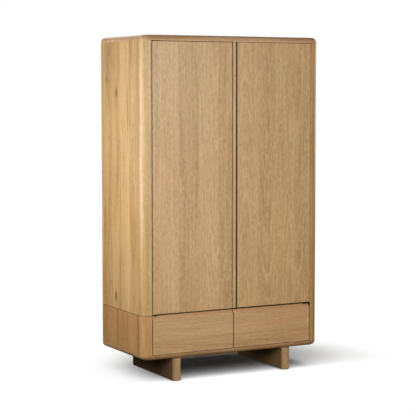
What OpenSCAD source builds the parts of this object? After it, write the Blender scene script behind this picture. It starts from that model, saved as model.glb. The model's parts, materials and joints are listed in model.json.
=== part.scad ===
// Armoire: a tall oak wardrobe with two flush pivot-hung doors over two drawers, raised on two panel legs.
// Units are millimetres. X runs to the right, Y to the back and Z up.
// The origin is on the floor, in the middle of the width and of the depth.

/* [Case] */
// Overall width
case_w = 1200; // [1150:10:1300]
// Overall depth
case_d = 585; // [575:5:640]
// Overall height
case_h = 2035; // [1900:5:2200]
// Thickness of the top slab
top_t = 34; // [34:1:40]
// Thickness of the bottom slab
base_t = 30; // [29:1:36]
// Thickness of the side panels
side_t = 25; // [22:1:28]
// Width of the frame that shows beside each door
frame_w = 59; // [57:1:64]
// Depth of the corner posts
post_d = 60; // [56:1:70]
// Radius of the rounded front corners
corner_r = 51; // [44:1:54]
// Radius along the outer edges of the top slab
top_edge_r = 32; // [16:1:33]
// Radius along the outer edges of the bottom slab
base_edge_r = 28; // [16:1:28]
// Thickness of the back panels
back_t = 8; // [6:1:9]
// Height of the joint between the drawer case and the cupboard
joint_z = 400; // [390:1:420]
// Thickness of the board over the drawers
drawer_top_t = 22; // [18:1:24]
// Thickness of the cupboard floor
floor_t = 24; // [20:1:26]
// Distance of the board edges behind the front plane
setback = 35; // [34:1:45]

/* [Legs] */
// Height of the legs, with their glides
leg_h = 136; // [110:1:160]
// Thickness of each leg panel
leg_t = 56.5; // [50:0.5:60]
// Distance from the middle to the inner face of each leg
leg_x = 347; // [280:1:400]
// Radius of the rounded upright edges of the legs
leg_r = 24; // [16:1:24]
// Thickness of the floor glides
glide_t = 3; // [2:1:5]

/* [Doors] */
// Thickness of the doors and drawer fronts
door_t = 22; // [20:1:24]
// Gap between the left door and the frame
left_gap = 4.5; // [3:0.5:5]
// Gap between the right door and the frame
right_gap = 2.5; // [2.5:0.5:5]
// Left face of the centre stile, measured from the middle
stile_x = -7; // [-12:0.5:-2]
// Thickness of the centre stile and partition
stile_w = 23.5; // [20:0.5:26]
// Thickness of the wings behind the centre stile
stop_t = 8; // [6:1:10]
// Gap between the left door and the centre stile
left_meet = 3; // [2:0.5:6]
// Gap between the right door and the centre stile
right_meet = 8; // [2:0.5:10]
// Height of the shadow gap between the drawers and the left door
door_lift = 9; // [9:0.5:12]
// Gap over the left door
door_drop = 4; // [3:0.5:5]
// How much higher the right door hangs than the left one
right_raise = 1.5; // [0:0.5:1.5]
// Distance of the pivot from the door's hanging edge
pivot_in = 20; // [18:1:24]
// Distance of the pivot behind the door's front face
pivot_back = 8; // [7:0.5:8]

/* [Drawers] */
// Gap between a drawer front and the frame
drawer_gap = 4; // [2:0.5:6]
// Gap between the two drawer fronts
drawer_meet = 2.6; // [2:0.2:6]
// Gap under the drawer fronts
drawer_lift = 3; // [2:0.5:6]
// Height of the finger bevel along the top of each drawer front
bevel_h = 23.5; // [16:0.5:30]
// Thickness of the drawer sides and backs
board_t = 15; // [12:1:16]
// Height of the drawer boxes
box_h = 150; // [120:1:160]
// Length of the drawer runners
runner_l = 450; // [400:50:450]

/* [Fittings inside] */
// Diameter of the hanging rod
rod_dia = 25; // [20:1:30]
// Height of the hanging rod
rod_z = 1655; // [1500:1:1680]
// Underside of the hat shelf
hat_z = 1722; // [1715:1:1760]
// Thickness of the shelves
shelf_t = 18; // [16:1:22]
// Number of adjustable shelves behind the right door
shelf_count = 4; // [4:1:4]

/* [Hidden] */

$fn = 64;
oak_side = [0.80, 0.66, 0.45];
oak_face = [0.72, 0.60, 0.43];
oak_rail = [0.66, 0.53, 0.36];
birch = [0.86, 0.78, 0.64];
steel = [0.62, 0.62, 0.64];
felt = [0.25, 0.23, 0.21];

// Case planes
front_y = -case_d / 2;
back_y = case_d / 2;
side_x = case_w / 2;
inner_x = side_x - side_t;
open_x = side_x - frame_w;
post_y = front_y + post_d;
inset_y = front_y + setback;
stop_y = front_y + door_t + 2;
partition_y = stop_y + stop_t;
top_z = case_h - top_t;
base_top = leg_h + base_t;
floor_top = joint_z + floor_t;
drawer_bay_z1 = joint_z - drawer_top_t;
panel_y = back_y - back_t;
rebate_x = inner_x + back_t;
// Gap left between parts that move past each other
slip = 0.3;
// Radial clearance of a pin in its hole
fit = 0.05;
// How far a cutting shape runs past the face that it opens
past = 1;

// Dowels, screws and bolts
dowel_r = 4;
dowel_l = 30;
dowel_ys = [-180, 30, 240];
dowel_x = side_x - side_t / 2;
screw_r = 1.6;
screw_l = 14;
head_r = 3.5;
head_t = 2;
back_screw_x = inner_x + back_t / 2;
screw_end = 60;
upper_screws = 5;
upper_screw_pitch = (top_z - joint_z - 2 * screw_end) / upper_screws;
upper_screw_zs = [for (i = [0:upper_screws]) joint_z + screw_end + i * upper_screw_pitch];
lower_screw_zs = [base_top + screw_end, joint_z - screw_end];
bolt_r = 4;
bolt_l = 80;
bolt_head_r = 9;
bolt_head_t = 5;
bolt_ys = [-200, 0, 200];
connector_r = 3;
connector_cap_r = 7.5;
connector_cap_t = 2.5;
connector_xs = [-430, -130, 130, 430];
connector_ys = [-200, 240];
anchor_r = 2.5;
anchor_l = 40;
anchor_x = 200;
anchor_z = top_z + (top_t + back_t) / 2;
glide_r = 15;
glide_ys = [-240, 240];

// Doors, from the planes of the frame
left_x0 = -open_x + left_gap;
left_x1 = stile_x - left_meet;
right_x0 = stile_x + stile_w + right_meet;
right_x1 = open_x - right_gap;
left_z0 = joint_z + door_lift;
left_z1 = top_z - door_drop;
right_z0 = left_z0 + right_raise;
right_z1 = left_z1 + right_raise;
left_pivot_x = left_x0 + pivot_in;
right_pivot_x = right_x1 - pivot_in;
pivot_y = front_y + pivot_back;
pivot_r = 3;
// How far a pivot pin reaches into the door
pin_reach = 11;
pocket_r = 4.5;
washer_r = 8;
plate_t = 3;
plate_w = 41;
plate_z = joint_z + 1;
plate_front_y = pivot_y - 6;
top_plate_y = inset_y + 10;
low_plate_y = inset_y + 42;
plate_screw_x = open_x - plate_w / 2;
top_screw_ys = [inset_y - 9, inset_y + 4];
low_screw_ys = [inset_y + 14, inset_y + 32];
leaf_w = 10;
leaf_l = 60;
leaf_t = 3;
leaf_end = 8;
leaf_screws = [25, 45];
catch_l = 40;
catch_h = 10;
catch_t = 10;
catch_in = 18;
catch_z = top_z - 15;
strike_t = 1.5;
batten = 20;
batten_x = open_x - 60;
batten_y = front_y + door_t + 1;
stile_z0 = left_z0 + 1;
wing_x0 = stile_x - 18;
wing_x1 = stile_x + stile_w + 24;

// Drawers
divider_x = 11;
runner_t = 12.7;
runner_y = inset_y + 2;
runner_z = 270;
runner_metal = 1.2;
outer_half = 22.5;
outer_lip = 8.2;
middle_in = 3;
middle_half = 19.5;
middle_lip = 6.4;
inner_half = 15;
inner_lip = 6.5;
spacer_half = 30;
box_y0 = front_y + door_t;
box_y1 = box_y0 + runner_l + 20;
box_z0 = runner_z - 80;
bottom_t = 8;
bottom_z0 = box_z0 + 8;
bottom_z1 = bottom_z0 + bottom_t;
groove = 8;
drawer_x0 = drawer_meet / 2;
drawer_x1 = open_x - drawer_gap;
drawer_z0 = base_top + drawer_lift;
drawer_z1 = joint_z - 0.5;
bevel_flat = 2;
box_x0 = divider_x + runner_t;
box_x1 = open_x - runner_t;
box_z1 = box_z0 + box_h;
peg_r = 4;
peg_l = 30;
peg_in = 12;
peg_zs = [bottom_z1 + 20, box_z1 - 25];

// Shelves and rod
shelf_y0 = post_y + 2;
shelf_y1 = panel_y - 3;
shelf_play = 1;
bay_x0 = stile_x + stile_w;
shelf_pitch = (top_z - floor_top + shelf_t) / (shelf_count + 1);
shelf_zs = [for (i = [1:shelf_count]) floor_top - shelf_t + i * shelf_pitch];
pin_r = 2.5;
pin_hole = 9;
pin_in = 8;
pin_out = 8;
pin_ys = [shelf_y0 + 40, shelf_y1 - 40];
pin_steps = [-32, 0, 32];
rod_r = rod_dia / 2;
rod_y = (front_y + door_t + panel_y) / 2;
socket_r = 26;
socket_t = 9;

// A block between two opposite corners
module block(low, high) {
    translate(low) cube(high - low);
}

// A shape and its copy mirrored to the other side of the case
module both_sides() {
    children();
    mirror([1, 0, 0]) children();
}

// A round bar that runs along X, Y or Z from a point
module bar_x(at, r, l) {
    translate(at) rotate([0, 90, 0]) cylinder(r = r, h = l);
}

module bar_y(at, r, l) {
    translate(at) rotate([-90, 0, 0]) cylinder(r = r, h = l);
}

module bar_z(at, r, l) {
    translate(at) cylinder(r = r, h = l);
}

// Half of a slab's section, out to the case corner radius, with one edge rounded
module edge_profile(t, r) {
    square([corner_r, t - r]);
    square([corner_r - r, t]);
    translate([corner_r - r, t - r]) intersection() {
        circle(r);
        square(r);
    }
}

// A slab in the plan of the case, rounded over along its front and sides, with its flat face at z = 0
module rounded_slab(t, r) {
    block([corner_r - side_x, front_y + corner_r, 0], [side_x - corner_r, back_y, t]);
    translate([side_x - corner_r, front_y + corner_r, 0])
        rotate([90, 0, -90]) linear_extrude(case_w - 2 * corner_r) edge_profile(t, r);
    both_sides() {
        translate([side_x - corner_r, back_y, 0])
            rotate([90, 0, 0]) linear_extrude(case_d - corner_r) edge_profile(t, r);
        translate([side_x - corner_r, front_y + corner_r, 0])
            rotate([0, 0, -90]) rotate_extrude(angle = 90) edge_profile(t, r);
    }
}

// The upright dowels of both sides at a joint height, or their holes when clear is above zero
module dowel_row(z, clear) {
    ends = clear > 0 ? past : 0;
    both_sides() for (y = dowel_ys) {
        bar_z([dowel_x, y, z - dowel_l / 2 - ends], dowel_r + clear, dowel_l + 2 * ends);
    }
}

// Countersunk screws with their heads at the given point, or their holes with some clearance
module screw_up(at, clear) {
    bar_z(at, screw_r + clear, screw_l + clear);
    bar_z(at, head_r + clear, head_t);
}

module screw_down(at, clear) {
    translate(at) mirror([0, 0, 1]) screw_up([0, 0, 0], clear);
}

module back_screw_rows(zs, clear) {
    both_sides() for (z = zs) {
        bar_y([back_screw_x, back_y - screw_l - clear, z], screw_r + clear, screw_l + clear);
        bar_y([back_screw_x, back_y - head_t, z], head_r + clear, head_t);
    }
}

module leg_bolt_set(clear) {
    both_sides() for (y = bolt_ys) {
        bar_z([leg_x + leg_t / 2, y, base_top - bolt_l - clear], bolt_r + clear, bolt_l + clear);
        bar_z([leg_x + leg_t / 2, y, base_top - bolt_head_t], bolt_head_r + clear, bolt_head_t);
    }
}

// Bolts that join the cupboard floor to the drawer case
module connector_set(clear) {
    for (x = connector_xs) {
        for (y = connector_ys) {
            bar_z([x, y, drawer_bay_z1], connector_r + clear, floor_top - drawer_bay_z1);
            bar_z([x, y, drawer_bay_z1], connector_cap_r + clear, connector_cap_t);
            bar_z([x, y, floor_top - connector_cap_t], connector_cap_r + clear, connector_cap_t);
        }
    }
}

module pivot_screw_set(clear) {
    both_sides() {
        for (y = top_screw_ys) screw_up([plate_screw_x, y, top_z], clear);
        for (y = low_screw_ys) screw_up([plate_screw_x, y, plate_z], clear);
    }
}

// A pivot plate on both sides, from its lower to its upper face
module plate_pair(y1, z0, z1) {
    both_sides() block([open_x - plate_w, plate_front_y, z0], [open_x, y1, z1]);
}

module side_panel(z0, z1, screw_zs) {
    difference() {
        block([inner_x, post_y, z0], [side_x, back_y, z1]);
        block([inner_x - past, panel_y, z0 - past], [rebate_x, back_y + past, z1 + past]);
        dowel_row(z0, fit);
        dowel_row(z1, fit);
        back_screw_rows(screw_zs, fit);
    }
}

// Square post with its outer front edge rounded to the case corner
module corner_post(z0, z1) {
    translate([0, 0, z0]) linear_extrude(z1 - z0) {
        translate([open_x, front_y + corner_r]) square([frame_w, post_d - corner_r]);
        translate([open_x, front_y]) square([frame_w - corner_r, corner_r]);
        translate([side_x - corner_r, front_y + corner_r]) intersection() {
            circle(corner_r);
            translate([0, -corner_r]) square(corner_r);
        }
    }
}

// Board between the sides, notched around both corner posts
module notched_board(z0, z1) {
    block([-inner_x, post_y, z0], [inner_x, panel_y, z1]);
    block([-open_x, inset_y, z0], [open_x, post_y, z1]);
}

// Shelf pin holes that open at the plane x and run into the board in the direction s
module pin_holes(x, s, zs) {
    for (z = zs) {
        for (y = pin_ys) bar_x([s > 0 ? x - past : x - pin_hole, y, z - pin_r], pin_r + fit, pin_hole + past);
    }
}

module pin_row(x, s, z) {
    for (y = pin_ys) bar_x([s > 0 ? x - pin_out : x - pin_in, y, z - pin_r], pin_r, pin_in + pin_out);
}

module top_slab() {
    color(oak_side) difference() {
        translate([0, 0, top_z]) rounded_slab(top_t, top_edge_r);
        block([-rebate_x, panel_y, top_z - past], [rebate_x, back_y + past, top_z + back_t]);
        dowel_row(top_z, fit);
        plate_pair(top_plate_y, top_z - past, top_z + plate_t);
        pivot_screw_set(fit);
        for (x = [-anchor_x, anchor_x]) bar_y([x, back_y - anchor_l, anchor_z], anchor_r, anchor_l + past);
    }
}

module bottom_slab() {
    color(oak_rail) difference() {
        translate([0, 0, base_top]) mirror([0, 0, 1]) rounded_slab(base_t, base_edge_r);
        block([-rebate_x, panel_y, base_top - back_t], [rebate_x, back_y + past, base_top + past]);
        dowel_row(base_top, fit);
        leg_bolt_set(fit);
    }
}

module upper_left_side() {
    color(oak_side) difference() {
        mirror([1, 0, 0]) side_panel(joint_z, top_z, upper_screw_zs);
        pin_holes(-inner_x, -1, [hat_z]);
    }
}

module upper_right_side() {
    color(oak_side) difference() {
        side_panel(joint_z, top_z, upper_screw_zs);
        for (z = shelf_zs) {
            for (step = pin_steps) pin_holes(inner_x, 1, [z + step]);
        }
    }
}

module lower_left_side() {
    color(oak_side) mirror([1, 0, 0]) side_panel(base_top, joint_z, lower_screw_zs);
}

module lower_right_side() {
    color(oak_side) side_panel(base_top, joint_z, lower_screw_zs);
}

module upper_left_post() {
    color(oak_face) mirror([1, 0, 0]) corner_post(joint_z, top_z);
}

module upper_right_post() {
    color(oak_face) corner_post(joint_z, top_z);
}

module lower_left_post() {
    color(oak_face) mirror([1, 0, 0]) corner_post(base_top, joint_z);
}

module lower_right_post() {
    color(oak_face) corner_post(base_top, joint_z);
}

module upper_floor() {
    color(oak_rail) difference() {
        notched_board(joint_z, floor_top);
        plate_pair(low_plate_y, joint_z - past, plate_z + plate_t);
        pivot_screw_set(fit);
        connector_set(fit);
    }
}

module drawer_case_top() {
    color(oak_rail) difference() {
        notched_board(drawer_bay_z1, joint_z);
        connector_set(fit);
    }
}

module centre_partition() {
    color(oak_side) difference() {
        block([stile_x, partition_y, floor_top], [bay_x0, panel_y, top_z]);
        pin_holes(stile_x, 1, [hat_z]);
        for (z = shelf_zs) {
            for (step = pin_steps) pin_holes(bay_x0, -1, [z + step]);
        }
    }
}

// Front lipping of the partition, with wings behind it that the doors close against
module centre_stile() {
    color(oak_face) {
        block([stile_x, front_y, stile_z0], [bay_x0, stop_y, top_z]);
        block([wing_x0, stop_y, stile_z0], [wing_x1, partition_y, top_z]);
    }
}

module drawer_divider() {
    color(birch) block([-divider_x, stop_y, base_top], [divider_x, panel_y, drawer_bay_z1]);
}

module upper_back_panel() {
    color(oak_side) difference() {
        block([-rebate_x, panel_y, joint_z], [rebate_x, back_y, top_z + back_t]);
        back_screw_rows(upper_screw_zs, fit);
    }
}

module lower_back_panel() {
    color(oak_side) difference() {
        block([-rebate_x, panel_y, base_top - back_t], [rebate_x, back_y, joint_z]);
        back_screw_rows(lower_screw_zs, fit);
    }
}

module back_screws() {
    color(steel) {
        back_screw_rows(upper_screw_zs, 0);
        back_screw_rows(lower_screw_zs, 0);
    }
}

// Upright panel that runs from the front to the back of the case, with rounded ends
module leg_panel() {
    translate([leg_x, 0, glide_t]) linear_extrude(leg_h - glide_t) {
        translate([leg_r, front_y]) square([leg_t - 2 * leg_r, case_d]);
        translate([0, front_y + leg_r]) square([leg_t, case_d - 2 * leg_r]);
        for (x = [leg_r, leg_t - leg_r]) {
            for (y = [front_y + leg_r, back_y - leg_r]) translate([x, y]) circle(leg_r);
        }
    }
}

module left_leg() {
    color(oak_face) difference() {
        mirror([1, 0, 0]) leg_panel();
        leg_bolt_set(fit);
    }
}

module right_leg() {
    color(oak_face) difference() {
        leg_panel();
        leg_bolt_set(fit);
    }
}

module floor_glides() {
    color(felt) both_sides() for (y = glide_ys) bar_z([leg_x + leg_t / 2, y, 0], glide_r, glide_t);
}

module leg_bolts() {
    color(steel) leg_bolt_set(0);
}

module dowels() {
    color(birch) for (z = [base_top, joint_z, top_z]) dowel_row(z, 0);
}

module case_connectors() {
    color(steel) connector_set(0);
}

module hat_shelf() {
    color(oak_side) block([shelf_play - inner_x, shelf_y0, hat_z],
        [stile_x - shelf_play, shelf_y1, hat_z + shelf_t]);
}

module hanging_rod() {
    color(steel) bar_x([shelf_play - inner_x, rod_y, rod_z], rod_r, inner_x + stile_x - 2 * shelf_play);
}

module rod_sockets() {
    color(steel) for (x = [-inner_x, stile_x - socket_t]) difference() {
        bar_x([x, rod_y, rod_z], socket_r, socket_t);
        bar_x([x - past, rod_y, rod_z], rod_r + fit, socket_t + 2 * past);
    }
}

module shelf(i) {
    color(oak_side) block([bay_x0 + shelf_play, shelf_y0, shelf_zs[i]],
        [inner_x - shelf_play, shelf_y1, shelf_zs[i] + shelf_t]);
}

module shelf_pins() {
    color(steel) {
        pin_row(-inner_x, -1, hat_z);
        pin_row(stile_x, 1, hat_z);
        for (z = shelf_zs) {
            pin_row(bay_x0, -1, z);
            pin_row(inner_x, 1, z);
        }
    }
}

// Battens under the top slab behind the doors, with a pocket for each catch
module stop_battens() {
    color(oak_rail) difference() {
        union() {
            block([-batten_x, batten_y, top_z - batten], [wing_x0, batten_y + batten, top_z]);
            block([wing_x1, batten_y, top_z - batten], [batten_x, batten_y + batten, top_z]);
        }
        catch_pair(batten_y - past, batten_y + catch_t);
    }
}

// Blocks at the height of the catches, beside the meeting edge of each door
module catch_pair(y0, y1) {
    block([left_x1 - catch_in - catch_l, y0, catch_z], [left_x1 - catch_in, y1, catch_z + catch_h]);
    block([right_x0 + catch_in, y0, catch_z], [right_x0 + catch_in + catch_l, y1, catch_z + catch_h]);
}

module magnetic_catches() {
    color(steel) catch_pair(batten_y, batten_y + catch_t);
}

module runner_spacers() {
    color(birch) both_sides() block([open_x, post_y, runner_z - spacer_half],
        [inner_x, box_y1, runner_z + spacer_half]);
}

// Plates let into the top slab and the cupboard floor, each with its pin, and a washer under each door
module door_pivots() {
    color(steel) {
        difference() {
            plate_pair(top_plate_y, top_z, top_z + plate_t);
            pivot_screw_set(fit);
        }
        difference() {
            plate_pair(low_plate_y, plate_z, plate_z + plate_t);
            pivot_screw_set(fit);
        }
        pivot_pins(left_pivot_x, left_z0, left_z1);
        pivot_pins(right_pivot_x, right_z0, right_z1);
    }
}

// The pins of one door, and the washer that carries it
module pivot_pins(x, z0, z1) {
    washer_z = plate_z + plate_t;
    bar_z([x, pivot_y, plate_z], pivot_r, z0 + pin_reach - plate_z);
    bar_z([x, pivot_y, z1 - pin_reach], pivot_r, top_z + plate_t - z1 + pin_reach);
    difference() {
        bar_z([x, pivot_y, washer_z], washer_r, z0 - slip - washer_z);
        bar_z([x, pivot_y, washer_z - past], pivot_r - fit, z0 - washer_z + 2 * past);
    }
}

module pivot_screws() {
    color(steel) pivot_screw_set(0);
}

// Hinge leaf let into a door edge; s is 1 on the right door and -1 on the left one
module leaf_block(x, s, z0, z1) {
    ends = [x + s * leaf_end, x - s * (leaf_l - leaf_end)];
    block([min(ends), pivot_y - leaf_w / 2, z0], [max(ends), pivot_y + leaf_w / 2, z1]);
}

module leaf_screw_set(x, s, z0, z1, clear) {
    for (along = leaf_screws) {
        screw_up([x - s * along, pivot_y, z0], clear);
        screw_down([x - s * along, pivot_y, z1], clear);
    }
}

// Door blank with its mortises for the leaves, the pin pockets and the recess for the strike plate
module door_panel(x0, x1, z0, z1, x, s) {
    difference() {
        block([x0, front_y, z0], [x1, front_y + door_t, z1]);
        leaf_block(x, s, z0 - past, z0 + leaf_t);
        leaf_block(x, s, z1 - leaf_t, z1 + past);
        bar_z([x, pivot_y, z0 - past], pocket_r, pin_reach + 4 * past);
        bar_z([x, pivot_y, z1 - pin_reach - 3 * past], pocket_r, pin_reach + 4 * past);
        leaf_screw_set(x, s, z0, z1, fit);
        catch_pair(front_y + door_t - strike_t, front_y + door_t + past);
    }
}

module door_leaves(x, s, z0, z1) {
    difference() {
        union() {
            leaf_block(x, s, z0, z0 + leaf_t);
            leaf_block(x, s, z1 - leaf_t, z1);
        }
        bar_z([x, pivot_y, z0 - past], pivot_r + fit, leaf_t + 2 * past);
        bar_z([x, pivot_y, z1 - leaf_t - past], pivot_r + fit, leaf_t + 2 * past);
        leaf_screw_set(x, s, z0, z1, fit);
    }
    leaf_screw_set(x, s, z0, z1, 0);
}

module left_door_panel() {
    color(oak_face) door_panel(left_x0, left_x1, left_z0, left_z1, left_pivot_x, -1);
}

module left_door_leaves() {
    color(steel) door_leaves(left_pivot_x, -1, left_z0, left_z1);
}

module left_strike_plate() {
    color(steel) strike(left_x1 - catch_in - catch_l);
}

module right_door_panel() {
    color(oak_face) door_panel(right_x0, right_x1, right_z0, right_z1, right_pivot_x, 1);
}

module right_door_leaves() {
    color(steel) door_leaves(right_pivot_x, 1, right_z0, right_z1);
}

module right_strike_plate() {
    color(steel) strike(right_x0 + catch_in);
}

module strike(x) {
    block([x, front_y + door_t - strike_t, catch_z], [x + catch_l, front_y + door_t, catch_z + catch_h]);
}

// Drawer front with its finger bevel along the top and a groove for the bottom panel
module drawer_front() {
    difference() {
        translate([drawer_x0, 0, 0]) rotate([90, 0, 90]) linear_extrude(drawer_x1 - drawer_x0) polygon([
            [front_y, drawer_z0],
            [front_y, drawer_z1 - bevel_h],
            [box_y0 - bevel_flat, drawer_z1],
            [box_y0, drawer_z1],
            [box_y0, drawer_z0]
        ]);
        block([box_x0 + board_t - groove, box_y0 - groove, bottom_z0],
            [box_x1 - board_t + groove, box_y0 + past, bottom_z1]);
        peg_set(fit);
    }
}

// Pegs that join the drawer sides to the front, or their holes
module peg_set(clear) {
    for (x = [box_x0 + board_t / 2, box_x1 - board_t / 2]) {
        for (z = peg_zs) bar_y([x, box_y0 - peg_in - clear, z], peg_r + clear, peg_l + 2 * clear);
    }
}

// Drawer side that starts at x, with its groove on the inner face in the direction s
module drawer_side(x, s) {
    groove_x = s > 0 ? x + board_t - groove : x - past;
    difference() {
        block([x, box_y0, box_z0], [x + board_t, box_y1, box_z1]);
        block([groove_x, box_y0 - past, bottom_z0], [groove_x + groove + past, box_y1 + past, bottom_z1]);
        peg_set(fit);
    }
}

module drawer_back() {
    block([box_x0 + board_t, box_y1 - board_t, bottom_z1], [box_x1 - board_t, box_y1, box_z1]);
}

module drawer_bottom() {
    block([box_x0 + board_t - groove, box_y0 - groove, bottom_z0],
        [box_x1 - board_t + groove, box_y1, bottom_z1]);
}

// A runner member on each side of the right drawer, drawn out from the case wall at x = 0
module runner_pair() {
    translate([divider_x, runner_y, runner_z]) children();
    translate([open_x, runner_y, runner_z]) mirror([1, 0, 0]) children();
}

// Channel with its web from x = 0 and its lips towards +X
module channel(half, lip) {
    block([0, 0, -half], [runner_metal, runner_l, half]);
    for (z = [-half, half - runner_metal]) block([0, 0, z], [lip, runner_l, z + runner_metal]);
}

module outer_runners() {
    runner_pair() channel(outer_half, outer_lip);
}

module middle_runners() {
    runner_pair() translate([middle_in, 0, 0]) channel(middle_half, middle_lip);
}

module inner_runners() {
    runner_pair() translate([runner_t, 0, 0]) mirror([1, 0, 0]) channel(inner_half, runner_t - inner_lip);
}

module case_runners() {
    color(steel) both_sides() outer_runners();
}

module left_middle_runners() {
    color(steel) mirror([1, 0, 0]) middle_runners();
}

module right_middle_runners() {
    color(steel) middle_runners();
}

module left_drawer_front() {
    color(oak_face) mirror([1, 0, 0]) drawer_front();
}

module left_drawer_left_side() {
    color(birch) mirror([1, 0, 0]) drawer_side(box_x1 - board_t, -1);
}

module left_drawer_right_side() {
    color(birch) mirror([1, 0, 0]) drawer_side(box_x0, 1);
}

module left_drawer_back() {
    color(birch) mirror([1, 0, 0]) drawer_back();
}

module left_drawer_bottom() {
    color(birch) mirror([1, 0, 0]) drawer_bottom();
}

module left_drawer_runners() {
    color(steel) mirror([1, 0, 0]) inner_runners();
}

module left_drawer_dowels() {
    color(birch) mirror([1, 0, 0]) peg_set(0);
}

module right_drawer_front() {
    color(oak_face) drawer_front();
}

module right_drawer_left_side() {
    color(birch) drawer_side(box_x0, 1);
}

module right_drawer_right_side() {
    color(birch) drawer_side(box_x1 - board_t, -1);
}

module right_drawer_back() {
    color(birch) drawer_back();
}

module right_drawer_bottom() {
    color(birch) drawer_bottom();
}

module right_drawer_runners() {
    color(steel) inner_runners();
}

module right_drawer_dowels() {
    color(birch) peg_set(0);
}

top_slab();
bottom_slab();
upper_left_side();
upper_right_side();
lower_left_side();
lower_right_side();
upper_left_post();
upper_right_post();
lower_left_post();
lower_right_post();
upper_floor();
drawer_case_top();
centre_partition();
centre_stile();
drawer_divider();
upper_back_panel();
lower_back_panel();
back_screws();
left_leg();
right_leg();
floor_glides();
leg_bolts();
dowels();
case_connectors();
hat_shelf();
hanging_rod();
rod_sockets();
shelf(0);  // shelf_1
shelf(1);  // shelf_2
shelf(2);  // shelf_3
shelf(3);  // shelf_4
shelf_pins();
stop_battens();
runner_spacers();
case_runners();
door_pivots();
pivot_screws();
magnetic_catches();
left_door_panel();
left_door_leaves();
left_strike_plate();
right_door_panel();
right_door_leaves();
right_strike_plate();
left_drawer_front();
left_drawer_left_side();
left_drawer_right_side();
left_drawer_back();
left_drawer_bottom();
left_drawer_runners();
left_drawer_dowels();
right_drawer_front();
right_drawer_left_side();
right_drawer_right_side();
right_drawer_back();
right_drawer_bottom();
right_drawer_runners();
right_drawer_dowels();
left_middle_runners();
right_middle_runners();
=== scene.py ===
import json
import math
from types import SimpleNamespace
from typing import NamedTuple

import bpy
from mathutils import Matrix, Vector


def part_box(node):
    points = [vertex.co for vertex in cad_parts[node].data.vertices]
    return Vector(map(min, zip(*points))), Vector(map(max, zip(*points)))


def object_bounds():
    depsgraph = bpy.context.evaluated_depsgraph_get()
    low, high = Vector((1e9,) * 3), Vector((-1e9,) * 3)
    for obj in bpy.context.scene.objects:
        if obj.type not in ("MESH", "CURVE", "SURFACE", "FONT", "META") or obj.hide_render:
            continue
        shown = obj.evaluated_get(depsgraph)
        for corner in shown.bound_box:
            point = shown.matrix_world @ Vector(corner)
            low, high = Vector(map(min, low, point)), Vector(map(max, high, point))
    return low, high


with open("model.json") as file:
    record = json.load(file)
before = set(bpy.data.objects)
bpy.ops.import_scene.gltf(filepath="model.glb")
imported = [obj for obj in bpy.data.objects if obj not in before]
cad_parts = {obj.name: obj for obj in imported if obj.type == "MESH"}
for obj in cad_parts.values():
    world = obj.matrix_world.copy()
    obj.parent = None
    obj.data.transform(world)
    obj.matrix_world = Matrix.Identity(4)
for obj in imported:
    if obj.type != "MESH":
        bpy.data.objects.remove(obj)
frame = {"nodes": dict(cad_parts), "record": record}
CAD_LO, CAD_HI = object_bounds()
NODES = frame["nodes"]


# ---------------------------------------------------------------- node building

class Graph:
    """Short names for the shader nodes that the materials are made of. Most calls return an output socket."""

    def __init__(self, name):
        self.material = bpy.data.materials.new(name)
        self.material.use_nodes = True
        self.tree = self.material.node_tree
        self.shader = self.tree.nodes["Principled BSDF"]

    def node(self, kind, **settings):
        made = self.tree.nodes.new(kind)
        for key, value in settings.items():
            setattr(made, key, value)
        return made

    def put(self, socket, value):
        """Links a socket to the given one, or sets it to a plain value."""
        if isinstance(value, bpy.types.NodeSocket):
            self.tree.links.new(value, socket)
        else:
            socket.default_value = value

    def set(self, name, value):
        self.put(self.shader.inputs[name], value)

    def math(self, operation, a, b=0.0, clamp=False):
        made = self.node("ShaderNodeMath", operation=operation, use_clamp=clamp)
        self.put(made.inputs[0], a)
        self.put(made.inputs[1], b)
        return made.outputs[0]

    def add(self, a, b):
        return self.math("ADD", a, b)

    def mul(self, a, b):
        return self.math("MULTIPLY", a, b)

    def swing(self, value, amount):
        """Turns a value from 0 to 1 into a swing about zero, with this amount between its ends."""
        return self.mul(self.add(value, -0.5), amount)

    def ramp(self, value, low, high, to_low=0.0, to_high=1.0):
        made = self.node("ShaderNodeMapRange", interpolation_type="SMOOTHSTEP")
        for key, number in (("Value", value), ("From Min", low), ("From Max", high),
                            ("To Min", to_low), ("To Max", to_high)):
            self.put(made.inputs[key], number)
        return made.outputs["Result"]

    def join(self, x, y, z):
        made = self.node("ShaderNodeCombineXYZ")
        for socket, value in zip(made.inputs, (x, y, z)):
            self.put(socket, value)
        return made.outputs[0]

    def place(self):
        """The place on the piece, in metres of the shared frame when the piece is at rest."""
        return self.node("ShaderNodeTexCoord").outputs["Object"]

    def axes(self):
        split = self.node("ShaderNodeSeparateXYZ")
        self.put(split.inputs[0], self.place())
        return {letter: split.outputs[letter.upper()] for letter in "xyz"}

    def noise(self, place, scale=1.0, detail=2.0, rough=0.5):
        made = self.node("ShaderNodeTexNoise")
        self.put(made.inputs["Vector"], place)
        made.inputs["Scale"].default_value = scale
        made.inputs["Detail"].default_value = detail
        made.inputs["Roughness"].default_value = rough
        return made.outputs["Fac"]

    def random(self, value):
        """Three random numbers from 0 to 1 that depend on the value alone."""
        made = self.node("ShaderNodeTexWhiteNoise", noise_dimensions="1D")
        self.put(made.inputs["W"], value)
        split = self.node("ShaderNodeSeparateColor")
        self.put(split.inputs[0], made.outputs["Color"])
        return split.outputs[0], split.outputs[1], split.outputs[2]

    def mix(self, share, a, b, blend="MIX"):
        made = self.node("ShaderNodeMix", data_type="RGBA", blend_type=blend)
        self.put(made.inputs["Factor"], share)
        self.put(made.inputs["A"], a)
        self.put(made.inputs["B"], b)
        return made.outputs["Result"]

    def bump(self, height, strength, distance):
        made = self.node("ShaderNodeBump")
        made.inputs["Strength"].default_value = strength
        made.inputs["Distance"].default_value = distance
        self.put(made.inputs["Height"], height)
        self.set("Normal", made.outputs[0])


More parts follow.
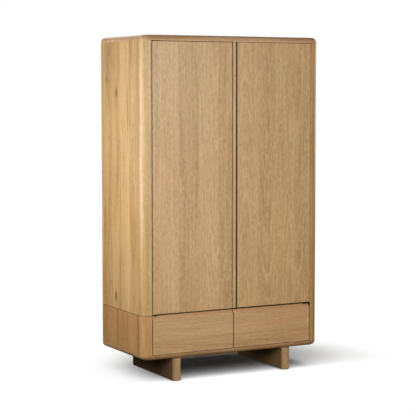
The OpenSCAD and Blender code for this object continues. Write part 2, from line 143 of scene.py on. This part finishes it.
def rgb(red, green, blue):
    """A colour given as sRGB values from 0 to 255."""
    def linear(value):
        value /= 255.0
        return value / 12.92 if value <= 0.04045 else ((value + 0.055) / 1.055) ** 2.4
    return (linear(red), linear(green), linear(blue), 1.0)


def grey(level):
    return (level, level, level, 1)


WHITE = grey(1)


# ---------------------------------------------------------------- camera, floor and light

# The camera stands to the left of the front, at eye height.
CAMERA_X = -4.0804
CAMERA_AHEAD = 7.3324        # in front of the door plane
CAMERA_Z = 1.712
CAMERA_YAW = math.radians(28.05)
CAMERA_PITCH = math.radians(-4.76)
CAMERA_LENS = 121.87
CAMERA_SENSOR = 36.0


def make_camera():
    data = bpy.data.cameras.new("camera")
    camera = bpy.data.objects.new("camera", data)
    bpy.context.scene.collection.objects.link(camera)
    data.lens = CAMERA_LENS
    data.sensor_width = CAMERA_SENSOR
    camera.location = (CAMERA_X, CAD_LO.y - CAMERA_AHEAD, CAMERA_Z)
    level = math.cos(CAMERA_PITCH)
    look = Vector((
        math.sin(CAMERA_YAW) * level,
        math.cos(CAMERA_YAW) * level,
        math.sin(CAMERA_PITCH),
    ))
    camera.rotation_euler = look.to_track_quat("-Z", "Y").to_euler()
    bpy.context.scene.camera = camera


def area_light(name, place, target, size, watts, colour):
    data = bpy.data.lights.new(name, "AREA")
    data.shape = "RECTANGLE"
    data.size, data.size_y = size
    data.energy = watts
    data.color = colour
    light = bpy.data.objects.new(name, data)
    bpy.context.scene.collection.objects.link(light)
    light.location = place
    light.rotation_euler = (Vector(target) - Vector(place)).to_track_quat("-Z", "Y").to_euler()
    return light


WHITE_CARD = (1.0, 0.99, 0.97)
WARM_CARD = (1.0, 0.91, 0.66)
# name, place, what it faces, width and height, watts, colour
CARDS = (
    ("left_card", (-2.3, 0.15, 1.35), (-0.6, 0.15, 1.35), (2.0, 1.3), 44.5, WHITE_CARD),
    ("front_left_card", (-2.4, -2.2, 1.65), (-0.5, -0.2, 1.3), (1.6, 1.4), 20, WHITE_CARD),
    ("front_card", (0.0, -4.2, 2.0), (-0.1, -0.3, 1.25), (2.8, 1.6), 90, WHITE_CARD),
    ("low_card", (0.45, -3.0, 0.5), (0.0, -0.3, 0.35), (1.8, 0.5), 12, WARM_CARD),
    ("right_card", (3.2, 0.5, 1.8), (0.6, 0.2, 1.1), (2.2, 1.8), 24, WHITE_CARD),
    ("back_card", (0.4, 4.0, 1.9), (0.0, 0.3, 1.1), (2.8, 1.8), 80, WHITE_CARD),
    ("ceiling_card", (0.3, 3.0, 4.3), (0.1, 0.3, 2.0), (2.0, 2.0), 70, WHITE_CARD),
)
LEG_SHADE_CARD = "left_card"  # the photo's legs are in deep shadow on this card's side
PANEL_PLACE = (-2.0, -4.0, 3.2)
PANEL_SIZE = (8.0, 8.0)
PANEL_WATTS = 620.0
PANEL_COLOUR = (1, 1, 1)
ROOM_LEVEL = 0.007


def make_lights(floor):
    """Pale cards stand around the object at its own height, so the side is lit from the side and the
    doors from the front. Two light the back and the top, which the camera does not see. A wide panel
    overhead lights the floor alone."""
    below = Vector((PANEL_PLACE[0], PANEL_PLACE[1], 0))
    panel = area_light("floor_panel", PANEL_PLACE, below, PANEL_SIZE, PANEL_WATTS, PANEL_COLOUR)
    link_light(panel, (floor,), "INCLUDE")
    legs = (NODES["left_leg"], NODES["right_leg"])
    for name, place, target, size, watts, colour in CARDS:
        card = area_light(name, place, target, size, watts, colour)
        shaded = legs if name == LEG_SHADE_CARD else ()
        link_light(card, (floor,) + shaded, "EXCLUDE")


def link_light(light, pieces, state):
    """INCLUDE lights these pieces alone and EXCLUDE all but these. Every piece still casts its shadow."""
    group = bpy.data.collections.new(light.name + "_receivers")
    for piece in pieces:
        group.objects.link(piece)
    for member in group.collection_objects:
        member.light_linking.link_state = state
    light.light_linking.receiver_collection = group


def make_world():
    """A white background to the eye, and an almost dark room for everything that it lights."""
    world = bpy.data.worlds.new("studio")
    world.use_nodes = True
    tree = world.node_tree
    tree.nodes.clear()
    out = tree.nodes.new("ShaderNodeOutputWorld")
    seen = tree.nodes.new("ShaderNodeBackground")
    room = tree.nodes.new("ShaderNodeBackground")
    pick = tree.nodes.new("ShaderNodeMixShader")
    ray = tree.nodes.new("ShaderNodeLightPath")
    seen.inputs["Color"].default_value = WHITE
    room.inputs["Color"].default_value = WHITE
    room.inputs["Strength"].default_value = ROOM_LEVEL
    tree.links.new(ray.outputs["Is Camera Ray"], pick.inputs["Fac"])
    tree.links.new(room.outputs[0], pick.inputs[1])
    tree.links.new(seen.outputs[0], pick.inputs[2])
    tree.links.new(pick.outputs[0], out.inputs["Surface"])
    bpy.context.scene.world = world


FLOOR_HALF = 40.0            # the floor is a square, 80 m on a side
FLOOR_MIDDLE = (0.25, -0.05, 0)
FLOOR_FADE = (0.5, 1.05)     # between these distances from the middle it turns into the white background
FLOOR_GLOW = 0.016           # keeps the deepest shadow from going black
FLOOR_BOUNCE = 0.02          # what the floor gives back to the object


def diffuse(g, colour):
    made = g.node("ShaderNodeBsdfDiffuse")
    made.inputs["Color"].default_value = colour
    return made.outputs[0]


def mix_shaders(g, share, first, second):
    made = g.node("ShaderNodeMixShader")
    g.put(made.inputs["Fac"], share)
    g.put(made.inputs[1], first)
    g.put(made.inputs[2], second)
    return made.outputs[0]


def floor_material():
    """White where the camera sees it, fading into the background, and almost black to other rays."""
    g = Graph("pale_floor")
    g.tree.nodes.remove(g.shader)
    away = g.node("ShaderNodeVectorMath", operation="DISTANCE")
    g.put(away.inputs[0], g.place())
    away.inputs[1].default_value = FLOOR_MIDDLE
    fade = g.ramp(away.outputs["Value"], FLOOR_FADE[0], FLOOR_FADE[1], FLOOR_GLOW, 1.0)
    background = g.node("ShaderNodeEmission").outputs[0]
    seen = mix_shaders(g, fade, diffuse(g, WHITE), background)
    ray = g.node("ShaderNodeLightPath")
    bounce = diffuse(g, grey(FLOOR_BOUNCE))
    shown = mix_shaders(g, ray.outputs["Is Camera Ray"], bounce, seen)
    g.put(g.tree.nodes["Material Output"].inputs["Surface"], shown)
    return g.material


def make_floor():
    """A pale floor that shows its shadows near the object and runs out into white."""
    mesh = bpy.data.meshes.new("floor")
    h = FLOOR_HALF
    mesh.from_pydata([(-h, -h, 0), (h, -h, 0), (h, h, 0), (-h, h, 0)], [], [(0, 1, 2, 3)])
    floor = bpy.data.objects.new("floor", mesh)
    bpy.context.scene.collection.objects.link(floor)
    mesh.materials.append(floor_material())
    return floor


# ---------------------------------------------------------------- what oak looks like

class Oak(NamedTuple):
    """One kind of oak board: its grain runs along one axis, in leaves of veneer or planks of one width."""
    along: str               # the letter of the axis along the grain
    across: str              # and of the axis across it
    leaf: float              # width of a leaf or plank
    seed: float
    tones: tuple             # the palest wood, the darkest wood and the open pores
    start: float = 0.0       # moves the lines between the leaves
    arches: float = 1.0      # how steeply the rings run out of the face, which draws nested arches
    flecks: float = 0.5      # strength of the pale flecks
    rough: float = 0.44
    spread: float = 1.0      # how unlike each other the leaves are
    contrast: float = 1.0
    solid: float = None      # depth of a solid board's face, so that its ends show the rings too
    knots: tuple = ()        # (along, across, radius) places that the rings flow around
    seam: float = 0.0        # how dark the line between two leaves is
    seam_half: float = 0.0016
    joint: float = None      # height of a joint along which shade is painted as a dark line
    limed: bool = False      # limed oak has pale pores
    mineral: float = 0.0     # strength of its few long dark veins
    lacquer: float = 0.65    # weight of the clear coat
    shade_boxes: tuple = ()       # boxes, each of (axis, low, high) ranges, inside which shade is painted on as a dark colour. Axis "a" is the distance from the middle plane
                             # the distance from the middle plane


class Finish(NamedTuple):
    """How much each figure darkens the wood, where 0 is the palest wood and 1 the darkest."""
    plain: float
    early: float             # the early wood of a ring, with its open pores
    streak: float
    mottle: float
    pores: float             # how far a pore takes on its own colour


BARE = Finish(plain=0.30, early=0.30, streak=1.15, mottle=0.80, pores=0.60)
LIMED = Finish(plain=0.46, early=-0.45, streak=0.85, mottle=1.30, pores=0.38)

LEAF_OFFSET = 10.0           # keeps the leaf numbers above zero
LEAF_DRIFT = 1.1             # range of the heart line's place across its leaf, in widths
LOG_LENGTH = 7.0             # the leaves are cut from anywhere in this length
SECOND_DRAW = 40.5           # added to a seed, it gives three more random numbers
WANDER = 0.055               # range of the fibres' slow wandering
RAGGED = 0.010               # range of the rings' ragged edges
ARCH_SLOPE = 0.11            # range of the heart line's slope along a leaf
ARCH_FOOT = 1.1              # the height on an upright leaf where it has its own depth
HEAVE = 0.03                 # range of the heart line's rise and fall
HEART_DEPTH = (0.055, 0.03)  # its least depth, and what chance adds
RINGS_PER_METRE = 118.0
RING_UNEVEN = 3.2            # uneven growth moves a ring by up to this many rings
KNOT_FLATTEN = 0.42          # a knot's width over its length
KNOT_PUSH = 0.020            # how far a knot pushes the rings
LEAF_TONE = 0.34             # range of tone between the leaves, and of the clouds within them
CLOUD_TONE = 0.70
HUE_SHARE = 0.7
REDDER = (1.04, 0.955, 0.93, 1)
GREENER = (0.985, 1.01, 0.90, 1)
FLECK_SHARE = 0.42
KNOT_RIM = 0.45              # how much darker a knot's rim and its heart are
KNOT_HEART = 0.75
JOINT_LINE = (0.0008, 0.0030)  # the painted shade along a joint is darkest up to the first distance, and plain past the second
JOINT_SHARE = 0.85
# how fully the painted shade in the gaps covers the wood
PAINTED_SHADE_SHARE = 0.96
LIME = rgb(224, 198, 158)
# the colour of the painted shade in the gaps
PAINTED_SHADE = rgb(44, 28, 17)
WEAR_WIDTH = 0.002
WEAR_SHARE = 0.45
WORN = (1.22, 1.20, 1.16, 1)
LACQUER_ROUGH = 0.39


def oak(name, board):
    g = Graph(name)
    at = lay_leaves(g, board)
    swell, knot = find_knots(g, board, at)
    at.early = grow_rings(g, board, at, swell)
    at.pores = open_pores(g, at)
    colour = wood_colour(g, board, at)
    if board.flecks:
        colour = add_flecks(g, board, at, colour)
    if board.mineral:
        colour = add_veins(g, board, at, colour)
    if board.knots:
        colour = add_knots(g, board, swell, knot, colour)
    if board.seam:
        colour = add_seams(g, board, at, colour)
    # painted shade: a dark line along the joint
    if board.joint is not None:
        colour = paint_joint_shade(g, board, at, colour)
    colour = fill_pores(g, board, at, colour)
    # painted shade: darkens the wood inside the boxes around the gaps
    if board.shade_boxes:
        colour = add_painted_shade(g, board, at, colour)
    worn = edge_wear(g)
    g.set("Base Color", g.mix(g.mul(worn, WEAR_SHARE), colour, WORN, "MULTIPLY"))
    add_lacquer(g, board, at, worn)
    return g.material


def grain(g, at, fine, along, detail, rough):
    """Noise with these counts per metre: fine across the grain, and long along it."""
    place = g.join(g.mul(at.u, fine), g.mul(at.run, along), g.mul(at.w, fine))
    return g.noise(place, detail=detail, rough=rough)


def lay_leaves(g, board):
    """Finds where a point lies in its leaf and in the log: v along the grain, u across it and w in depth."""
    at = SimpleNamespace(axis=g.axes())
    depth = ({"x", "y", "z"} - {board.along, board.across}).pop()
    at.v, at.u, at.w = at.axis[board.along], at.axis[board.across], at.axis[depth]
    shifted = g.add(at.u, LEAF_OFFSET + board.start)
    at.leaf_no = g.math("FLOOR", g.mul(shifted, 1.0 / board.leaf))
    drift, cut, at.tilt = g.random(g.add(at.leaf_no, board.seed))
    at.phase, at.sunk, at.shade = g.random(g.add(at.leaf_no, board.seed + SECOND_DRAW))
    at.middle = g.math("SUBTRACT", shifted, g.mul(g.add(at.leaf_no, 0.5), board.leaf))
    at.run = g.add(at.v, g.mul(cut, LOG_LENGTH))
    # the fibres wander slowly, and the rings' edges are ragged
    local = g.add(at.middle, g.swing(drift, board.leaf * LEAF_DRIFT))
    slow = g.join(g.mul(at.u, 5.0), g.mul(at.run, 1.6), g.add(at.leaf_no, board.seed))
    wander = g.noise(slow, detail=4.0, rough=0.6)
    ragged = grain(g, at, fine=70.0, along=16.0, detail=3.0, rough=0.7)
    at.local = g.add(local, g.add(g.swing(wander, WANDER), g.swing(ragged, RAGGED)))
    return at


def heart_depth(g, board, at):
    """How far behind the face the heart of the log lies."""
    foot = ARCH_FOOT if board.along == "z" else 0.0
    sinking = g.mul(g.swing(at.tilt, ARCH_SLOPE * board.arches), g.add(at.v, -foot))
    slow = g.join(g.mul(at.run, 1.6), g.add(board.seed, at.phase), 0.5)
    heave = g.noise(slow, detail=2.0, rough=0.5)
    heart = g.add(sinking, g.swing(heave, HEAVE * board.arches))
    least, more = HEART_DEPTH
    heart = g.add(heart, g.add(g.mul(at.sunk, more), least))
    if board.solid is not None:
        heart = g.add(heart, g.add(at.w, -board.solid))
    return heart


def find_knots(g, board, at):
    """Gives the swelling around the knots, and 1 in their dark hearts."""
    swell = 0.0
    knot = 0.0
    for knot_v, knot_u, size in board.knots:
        dv = g.mul(g.add(at.v, -knot_v), KNOT_FLATTEN / size)
        du = g.mul(g.add(at.u, -knot_u), 1.0 / size)
        away = g.add(g.mul(dv, dv), g.mul(du, du))
        swell = g.add(g.math("EXPONENT", g.mul(away, -1.0)), swell)
        knot = g.math("MAXIMUM", g.ramp(away, 0.10, 0.8, 1.0, 0.0), knot)
    return swell, knot


def grow_rings(g, board, at, swell):
    """Rings of uneven width and strength: a sharp band of early wood, then dense late wood."""
    heart = heart_depth(g, board, at)
    radius = g.math("SQRT", g.add(g.mul(at.local, at.local), g.mul(heart, heart)))
    if board.knots:
        radius = g.add(radius, g.mul(swell, KNOT_PUSH))
    slow = g.join(g.mul(radius, 34.0), g.add(at.leaf_no, board.seed), 0.0)
    uneven = g.noise(slow, detail=1.0, rough=0.5)
    rings = g.add(g.mul(radius, RINGS_PER_METRE), g.mul(uneven, RING_UNEVEN))
    part = g.math("FRACT", rings)
    bold, _, _ = g.random(g.add(g.math("FLOOR", rings), g.mul(at.leaf_no, 17.0)))
    early = g.mul(g.math("POWER", g.math("SUBTRACT", 1.0, part), 1.7), g.ramp(part, 0.0, 0.14))
    return g.mul(early, g.add(g.mul(bold, 0.8), 0.25))


def open_pores(g, at):
    """Short dashes, most of them in the early wood."""
    dash = grain(g, at, fine=1000.0, along=42.0, detail=1.0, rough=0.5)
    return g.mul(g.ramp(dash, 0.56, 0.68), g.add(at.early, 0.22))


def wood_colour(g, board, at):
    finish = LIMED if board.limed else BARE
    streak = grain(g, at, fine=80.0, along=2.2, detail=5.0, rough=0.65)
    mottle = grain(g, at, fine=125.0, along=42.0, detail=3.0, rough=0.65)
    cloud = grain(g, at, fine=13.0, along=1.4, detail=3.0, rough=0.6)
    tone = g.add(g.mul(at.early, finish.early), g.swing(streak, finish.streak))
    tone = g.add(tone, g.swing(mottle, finish.mottle))
    tone = g.add(tone, g.swing(at.shade, LEAF_TONE * board.spread))
    tone = g.add(tone, g.swing(cloud, CLOUD_TONE * board.spread))
    tone = g.math("ADD", g.mul(tone, board.contrast), finish.plain, clamp=True)
    light, dark, _ = board.tones
    return change_hue(g, at, g.mix(tone, light, dark))


def change_hue(g, at, colour):
    """The wood turns slowly from redder to greener and back."""
    slow = g.join(g.mul(at.u, 22.0), g.mul(at.run, 1.3), g.add(at.w, 3.0))
    hue = g.noise(slow, detail=2.0, rough=0.5)
    colour = g.mix(g.mul(g.ramp(hue, 0.50, 0.66), HUE_SHARE), colour, REDDER, "MULTIPLY")
    return g.mix(g.mul(g.ramp(hue, 0.48, 0.34), HUE_SHARE), colour, GREENER, "MULTIPLY")


def add_flecks(g, board, at, colour):
    """Short pale flecks in patches, where the wood's rays reach the face."""
    ray = grain(g, at, fine=95.0, along=26.0, detail=3.0, rough=0.6)
    slow = g.join(g.mul(at.u, 9.0), g.mul(at.run, 2.0), board.seed)
    patch = g.ramp(g.noise(slow, detail=2.0, rough=0.5), 0.42, 0.62)
    strength = g.mul(g.add(g.mul(at.early, 0.9), 0.35), board.flecks)
    shown = g.mul(g.mul(g.ramp(ray, 0.53, 0.62), patch), strength)
    return g.mix(g.mul(shown, FLECK_SHARE), colour, LIME)


def add_veins(g, board, at, colour):
    slow = g.join(g.mul(at.u, 55.0), g.mul(at.run, 2.4), g.add(at.w, 7.0))
    vein = g.noise(slow, detail=3.0, rough=0.6)
    return g.mix(g.mul(g.ramp(vein, 0.60, 0.72), board.mineral), colour, board.tones[1])


def add_knots(g, board, swell, knot, colour):
    _, dark, pore = board.tones
    rim = g.math("MULTIPLY", swell, 1.0, clamp=True)
    colour = g.mix(g.mul(rim, KNOT_RIM), colour, dark)
    return g.mix(g.mul(knot, KNOT_HEART), colour, pore)


def add_seams(g, board, at, colour):
    """Dark lines where two leaves or planks meet."""
    edge = g.math("SUBTRACT", 0.5 * board.leaf, g.math("ABSOLUTE", at.middle))
    line = g.ramp(edge, 0.0, board.seam_half, 1.0, 0.0)
    return g.mix(g.mul(line, board.seam), colour, board.tones[2])


# Paints shade as a dark line at the joint's height.
def paint_joint_shade(g, board, at, colour):
    away = g.math("ABSOLUTE", g.add(at.axis["z"], -board.joint))
    line = g.ramp(away, JOINT_LINE[0], JOINT_LINE[1], JOINT_SHARE, 0.0)
    return g.mix(line, colour, board.tones[2])


def fill_pores(g, board, at, colour):
    if board.limed:
        return g.mix(g.mul(at.pores, LIMED.pores), colour, LIME)
    return g.mix(g.mul(at.pores, BARE.pores), colour, board.tones[2])


# Paints shade onto the wood inside each box, where the gaps fall dark.
def add_painted_shade(g, board, at, colour):
    at.axis["a"] = g.math("ABSOLUTE", at.axis["x"])
    for box in board.shade_boxes:
        inside = 1.0
        for letter, low, high in box:
            inside = g.mul(g.math("GREATER_THAN", at.axis[letter], low), inside)
            inside = g.mul(g.math("LESS_THAN", at.axis[letter], high), inside)
        colour = g.mix(g.mul(inside, PAINTED_SHADE_SHARE), colour, PAINTED_SHADE)
    return colour


def edge_wear(g):
    """1 along the sharp edges and 0 on the faces, broken up a little."""
    rounded = g.node("ShaderNodeBevel", samples=4)
    rounded.inputs["Radius"].default_value = WEAR_WIDTH
    true = g.node("ShaderNodeNewGeometry")
    alike = g.node("ShaderNodeVectorMath", operation="DOT_PRODUCT")
    g.put(alike.inputs[0], rounded.outputs[0])
    g.put(alike.inputs[1], true.outputs["Normal"])
    patchy = g.noise(g.place(), scale=30.0, detail=3.0, rough=0.6)
    return g.mul(g.ramp(alike.outputs["Value"], 0.995, 0.90), g.ramp(patchy, 0.30, 0.60, 0.35, 1.0))


def add_lacquer(g, board, at, worn):
    """Satin lacquer that sinks into the pores, and is rubbed thin along the edges."""
    fibre = grain(g, at, fine=520.0, along=7.0, detail=2.0, rough=0.6)
    sunk = g.add(g.mul(at.pores, 0.20), g.mul(fibre, 0.10))
    g.set("Roughness", g.add(g.add(sunk, g.mul(worn, 0.08)), board.rough - 0.05))
    g.set("Coat Weight", board.lacquer)
    g.set("Coat Roughness", LACQUER_ROUGH)
    hollow = g.add(g.mul(at.pores, 0.8), g.mul(at.early, 0.10))
    g.bump(g.math("SUBTRACT", g.mul(fibre, 0.12), hollow), strength=0.30, distance=0.0005)


# ---------------------------------------------------------------- the other materials

def birch(name, along, across):
    """Pale close-grained board of the drawer boxes."""
    g = Graph(name)
    axis = g.axes()
    depth = ({"x", "y", "z"} - {along, across}).pop()
    at = SimpleNamespace(u=axis[across], run=axis[along], w=axis[depth])
    streak = grain(g, at, fine=60.0, along=2.0, detail=4.0, rough=0.6)
    fine = grain(g, at, fine=900.0, along=30.0, detail=2.0, rough=0.5)
    cloud = g.noise(g.place(), scale=9.0, detail=3.0, rough=0.6)
    tone = g.add(g.mul(streak, 0.7), g.add(g.mul(cloud, 0.3), g.mul(fine, 0.15)))
    g.set("Base Color", g.mix(g.ramp(tone, 0.35, 0.80), rgb(226, 203, 164), rgb(196, 164, 118)))
    g.set("Roughness", g.ramp(fine, 0.2, 0.8, 0.46, 0.60))
    g.bump(fine, strength=0.15, distance=0.0003)
    return g.material


METAL_MOTTLE = 0.72          # the brightness of the darker patches


def metal(name, colour, rough, scale):
    """Plated or satin steel with a faint drawn or mottled finish."""
    g = Graph(name)
    mottle = g.noise(g.place(), scale=scale, detail=3.0, rough=0.6)
    fine = g.noise(g.place(), scale=scale * 7.0, detail=2.0, rough=0.5)
    darker = tuple(METAL_MOTTLE * level for level in colour[:3]) + (1.0,)
    g.set("Base Color", g.mix(g.ramp(mottle, 0.35, 0.7), colour, darker))
    g.set("Roughness", g.ramp(fine, 0.25, 0.75, rough - 0.07, rough + 0.10))
    g.set("Metallic", 1.0)
    g.bump(fine, strength=0.08, distance=0.0002)
    return g.material


def felt(name):
    g = Graph(name)
    hair = g.noise(g.place(), scale=900.0, detail=4.0, rough=0.7)
    g.set("Base Color", g.mix(hair, rgb(46, 42, 38), rgb(78, 71, 64)))
    g.set("Roughness", g.ramp(hair, 0.2, 0.8, 0.85, 0.98))
    g.bump(hair, strength=0.6, distance=0.0006)
    return g.material


# ---------------------------------------------------------------- the armoire's materials

# the palest wood, the darkest wood and the open pores
SIDE_TONES = rgb(217, 182, 125), rgb(161, 120, 68), rgb(104, 70, 38)
# darker, more saturated colours for the lower sides: painted shade, darker towards the bottom
LOW_SIDE_TONES = rgb(203, 158, 104), rgb(147, 103, 57), rgb(92, 60, 32)
POST_TONES = rgb(217, 182, 123), rgb(165, 124, 71), rgb(110, 76, 43)
DOOR_TONES = rgb(216, 179, 128), rgb(160, 117, 70), rgb(98, 68, 40)
DRAWER_TONES = rgb(227, 187, 139), rgb(176, 131, 86), rgb(104, 70, 40)
# darker, more saturated colours for the lower left post: painted shade, darker towards the bottom
LOW_POST_TONES = rgb(206, 159, 102), rgb(157, 108, 59), rgb(106, 70, 38)
# a copy of the post's colours set for how the light falls on the right-hand posts: painted light and shade
RIGHT_POST_TONES = rgb(220, 178, 123), rgb(166, 121, 71), rgb(100, 66, 38)
TOP_TONES = rgb(225, 185, 141), rgb(160, 117, 76), rgb(94, 63, 36)
RAIL_TONES = rgb(198, 158, 110), rgb(138, 96, 57), rgb(84, 56, 32)
LEG_TONES = rgb(210, 170, 122), rgb(146, 105, 65), rgb(84, 58, 34)

WIDER_THAN_ANY = 2.0         # one leaf of this width covers a whole piece
INNER_ROUGH = 0.52
# heights and places of the knots on the sides, and their radii
SIDE_KNOTS = ((1.70, 0.07, 0.017), (0.475, 0.09, 0.018), (1.78, 0.215, 0.012))

FAR = 1.0                    # further out than any face
SKIN = 0.001                 # how far the painted shade reaches past an edge
WIDE_SKIN = 0.0012
BEHIND_FRONT = 0.024         # the painted shade on the case ends this far behind the door plane
THROUGH = 0.1                # deeper than any door or drawer front


def gap_shade_boxes():
    """Boxes around the edges in the gaps, which are dark in the photo. Shade is painted onto the wood inside
    them.
    """
    front = CAD_LO.y
    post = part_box("upper_right_post")[0].x
    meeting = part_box("right_door_panel")[0].x
    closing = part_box("left_door_panel")[1].x
    drawer_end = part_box("left_drawer_front")[0].x
    drawer_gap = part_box("right_drawer_front")[0].x
    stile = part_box("centre_stile")[0].x
    floor_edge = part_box("upper_floor")[0].y
    return SimpleNamespace(
        reveal=(("a", post - 0.010, post + SKIN), ("y", front + 0.003, front + BEHIND_FRONT)),
        behind_gap=(("y", front + 0.0005, front + BEHIND_FRONT),),
        meeting=(("x", meeting - SKIN, meeting + SKIN), ("y", front + 0.0006, front + THROUGH)),
        closing=(("x", closing - WIDE_SKIN, closing + SKIN),),
        drawer_end=(("x", -FAR, drawer_end + SKIN), ("y", front + 0.0015, front + THROUGH)),
        drawer_gap=(("a", 0, drawer_gap + WIDE_SKIN),),
        stile=(("x", -FAR, stile + SKIN),),
        floor=(("y", floor_edge - 0.01, floor_edge + 0.002),),
    )


def case_boards(joint, edges):
    post = Oak("z", "x", WIDER_THAN_ANY, 11.0, POST_TONES, arches=0.6, solid=-0.35, joint=joint,
               shade_boxes=(edges.reveal,))
    return {
        "side": Oak("z", "y", 0.124, 3.0, SIDE_TONES, start=0.03, spread=1.7, joint=joint, seam=0.35,
                    mineral=0.9, knots=SIDE_KNOTS),
        "low_side": Oak("z", "y", 0.30, 61.0, LOW_SIDE_TONES, start=0.13, spread=1.6, joint=joint,
                        seam=0.9, seam_half=0.005, mineral=0.6),
        "post": post._replace(lacquer=0.75),
        # the lower left post: the post's oak with darker colours, painted shade
        "low_post": post._replace(seed=12.0, tones=LOW_POST_TONES),
        # the right-hand posts: the post's oak with colours set for their light, painted light and shade
        "right_post": post._replace(seed=13.0, tones=RIGHT_POST_TONES),
        "rail": Oak("x", "y", WIDER_THAN_ANY, 31.0, RAIL_TONES, flecks=0.8, solid=0.1),
        "top": Oak("x", "y", 0.15, 37.0, TOP_TONES, solid=1.9, lacquer=0.15),
        "leg": Oak("z", "y", WIDER_THAN_ANY, 41.0, LEG_TONES, solid=-0.5),
    }


def front_boards(edges):
    return {
        "door": Oak("z", "x", 0.132, 5.0, DOOR_TONES, flecks=1.2, spread=0.8, limed=True,
                    shade_boxes=(edges.meeting, edges.closing)),
        "drawer": Oak("x", "z", 0.40, 23.0, DRAWER_TONES, arches=0.6, contrast=0.85,
                      shade_boxes=(edges.drawer_end, edges.drawer_gap)),
        "stile": Oak("z", "x", WIDER_THAN_ANY, 71.0, DOOR_TONES, arches=0.6, limed=True,
                     shade_boxes=(edges.behind_gap, edges.stile)),
    }


def inner_boards(edges):
    return {
        "floor_board": Oak("x", "y", 0.15, 33.0, DOOR_TONES, rough=INNER_ROUGH, shade_boxes=(edges.floor,)),
        "inner": Oak("z", "x", 0.16, 47.0, DOOR_TONES, rough=INNER_ROUGH),
        "shelf": Oak("x", "y", 0.16, 53.0, DOOR_TONES, rough=INNER_ROUGH),
    }


def make_materials():
    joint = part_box("upper_left_side")[0].z
    edges = gap_shade_boxes()
    boards = {**case_boards(joint, edges), **front_boards(edges), **inner_boards(edges)}
    looks = {name: oak("oak_" + name, board) for name, board in boards.items()}
    looks["birch"] = birch("birch_board", "y", "z")
    looks["zinc"] = metal("zinc_steel", (0.62, 0.63, 0.65, 1), 0.38, 60.0)
    looks["steel"] = metal("satin_steel", (0.58, 0.57, 0.55, 1), 0.28, 25.0)
    looks["dark"] = metal("dark_steel", (0.07, 0.06, 0.05, 1), 0.42, 40.0)
    looks["felt"] = felt("felt_pad")
    return looks


SLOT_LOOK = {
    "case_oak": "side", "front_oak": "door", "rail_oak": "rail", "inner_oak": "inner", "box_wood": "birch",
    "zinc_steel": "zinc", "satin_steel": "steel", "dark_steel": "dark", "felt_pad": "felt",
}
# nodes that look unlike the rest of their slot
NODE_LOOK = {
    "top_slab": "top", "bottom_slab": "rail", "upper_floor": "floor_board",
    "drawer_case_top": "floor_board", "upper_left_post": "post", "upper_right_post": "right_post",
    "lower_left_post": "low_post", "lower_right_post": "right_post", "left_drawer_front": "drawer",
    "right_drawer_front": "drawer", "left_leg": "leg", "right_leg": "leg", "hat_shelf": "shelf",
    "shelf_1": "shelf", "shelf_2": "shelf", "shelf_3": "shelf", "shelf_4": "shelf",
    "lower_left_side": "low_side", "lower_right_side": "low_side", "centre_stile": "stile",
}
UNSANDED_SLOTS = ("zinc_steel", "satin_steel", "dark_steel", "felt_pad")
# how far sanding rounds the edges of a part, and of the parts that are seen most
EASE = 0.0008
CASE_EASE = 0.0012
LOW_CASE_EASE = 0.0014
LEG_EASE = 0.0015
NODE_EASE = {
    "upper_left_side": CASE_EASE, "upper_right_side": CASE_EASE,
    "upper_left_post": CASE_EASE, "upper_right_post": CASE_EASE,
    "left_door_panel": CASE_EASE, "right_door_panel": CASE_EASE,
    "left_drawer_front": CASE_EASE, "right_drawer_front": CASE_EASE,
    "lower_left_side": LOW_CASE_EASE, "lower_right_side": LOW_CASE_EASE,
    "lower_left_post": LOW_CASE_EASE, "lower_right_post": LOW_CASE_EASE,
    "left_leg": LEG_EASE, "right_leg": LEG_EASE, "centre_stile": LEG_EASE,
}
WELD_WITHIN = 0.00001
EASE_SHARPER_THAN = math.radians(40)


def slots_by_node():
    return {part["node"]: part["material_slot"] for part in frame["record"]["subparts"]}


def dress_cad_nodes(looks):
    slot_of = slots_by_node()
    for name, node in NODES.items():
        look = NODE_LOOK.get(name) or SLOT_LOOK[slot_of[name]]
        for place in node.material_slots:
            place.material = looks[look]


def ease_wood():
    """Rounds the sharp edges of the wooden parts a little, as sanding leaves them."""
    slot_of = slots_by_node()
    for name, node in NODES.items():
        if slot_of[name] in UNSANDED_SLOTS:
            continue
        weld = node.modifiers.new("weld", "WELD")
        weld.merge_threshold = WELD_WITHIN
        bevel = node.modifiers.new("ease", "BEVEL")
        bevel.width = NODE_EASE.get(name, EASE)
        bevel.segments = 2
        bevel.limit_method = "ANGLE"
        bevel.angle_limit = EASE_SHARPER_THAN
        bevel.use_clamp_overlap = False
        normals = node.modifiers.new("normals", "WEIGHTED_NORMAL")
        normals.keep_sharp = False


bpy.context.scene.view_settings.view_transform = "Standard"
make_camera()
make_world()
make_lights(make_floor())
dress_cad_nodes(make_materials())
ease_wood()
